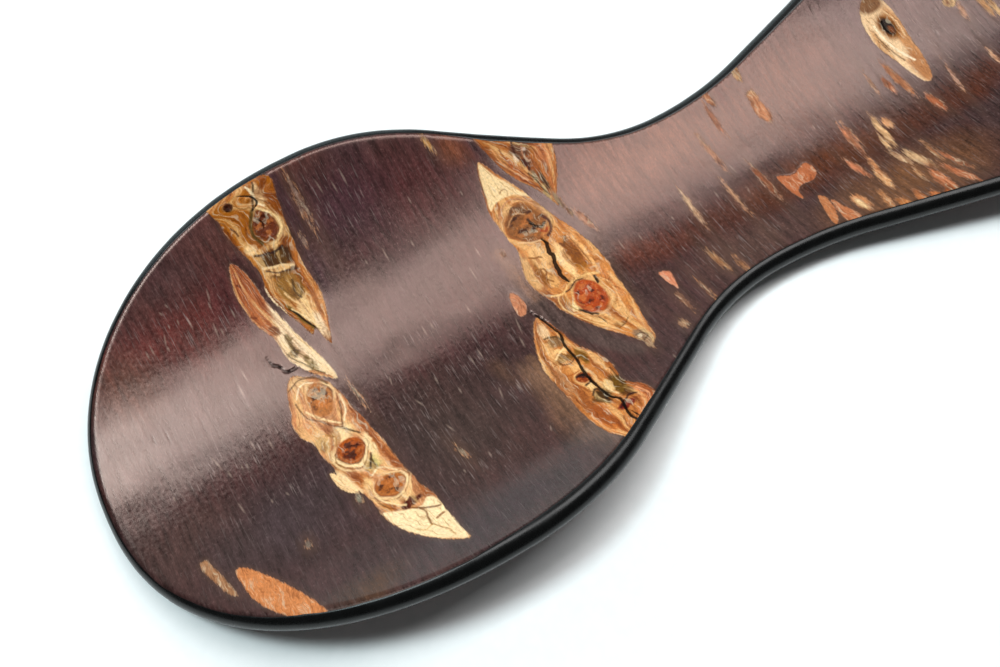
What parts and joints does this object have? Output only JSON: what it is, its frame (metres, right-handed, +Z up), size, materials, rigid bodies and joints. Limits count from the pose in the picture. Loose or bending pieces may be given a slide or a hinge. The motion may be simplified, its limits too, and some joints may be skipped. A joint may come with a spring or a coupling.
{
  "type": "tea scoop",
  "caption": "Gourd-shaped tea scoop, a shallow trough cut from curved cherry bark laminate, with a rounded black lacquer edge.",
  "frame": {"origin": "on the table, under the middle of the length, on the scoop's plane of symmetry", "axes": "+X along the scoop from the bowl to the handle, +Y across it, +Z up, out of the trough"},
  "size_m": [0.102, 0.0404, 0.0077],
  "materials": {
    "face_bark": "polished dark cherry bark with knots and lenticels, satin gloss",
    "core_wood": "bare thin wood veneer, matte",
    "back_bark": "polished dark cherry bark, satin",
    "lacquer": "black lacquer over filler, glossy"
  },
  "bodies": {
    "root": {"face_bark": "face_bark", "core_ply_upper": "core_wood", "core_ply_middle": "core_wood", "core_ply_lower": "core_wood", "back_bark": "back_bark", "lacquer_edge": "lacquer"}
  },
  "joints": []
}
